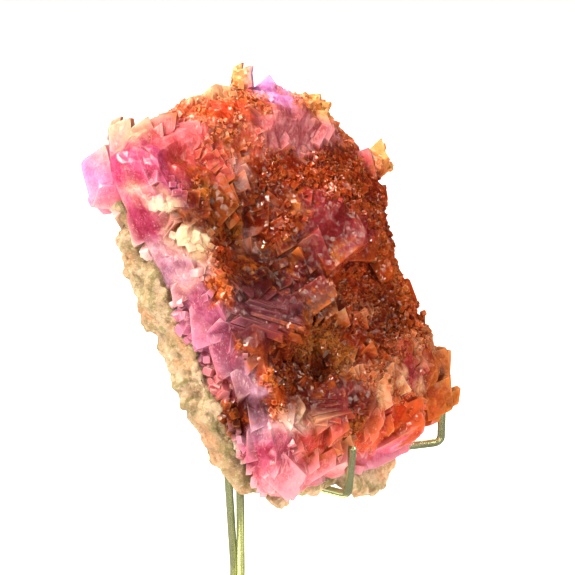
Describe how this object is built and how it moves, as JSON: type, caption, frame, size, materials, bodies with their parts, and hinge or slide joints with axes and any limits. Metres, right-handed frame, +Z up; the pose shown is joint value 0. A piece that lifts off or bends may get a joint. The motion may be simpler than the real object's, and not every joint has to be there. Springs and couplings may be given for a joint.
{
  "type": "mineral specimen on a wire display stand",
  "caption": "Slab-shaped mineral specimen, a crystal crust on a rock matrix, leaning on the arms and back rest of a bent-wire stand with a round base.",
  "frame": {"origin": "centre of the round base's underside", "axes": "+Z up, the stand's prongs and the crystal face look towards -Y, +X along the arms' spread to the right"},
  "size_m": [0.0725, 0.06, 0.1211],
  "materials": {
    "stand_brass": "pale greenish brass, drawn wire, softly polished",
    "matrix_rock": "beige to olive granular carbonate rock, matt",
    "calcite": "translucent pink to mauve calcite crystals, glossy faces, stained rust orange over the face"
  },
  "bodies": {
    "root": {"base": "stand_brass", "front_wire": "stand_brass", "right_arm": "stand_brass", "back_wire": "stand_brass", "matrix": "matrix_rock", "calcite_crust": "calcite"}
  },
  "joints": []
}
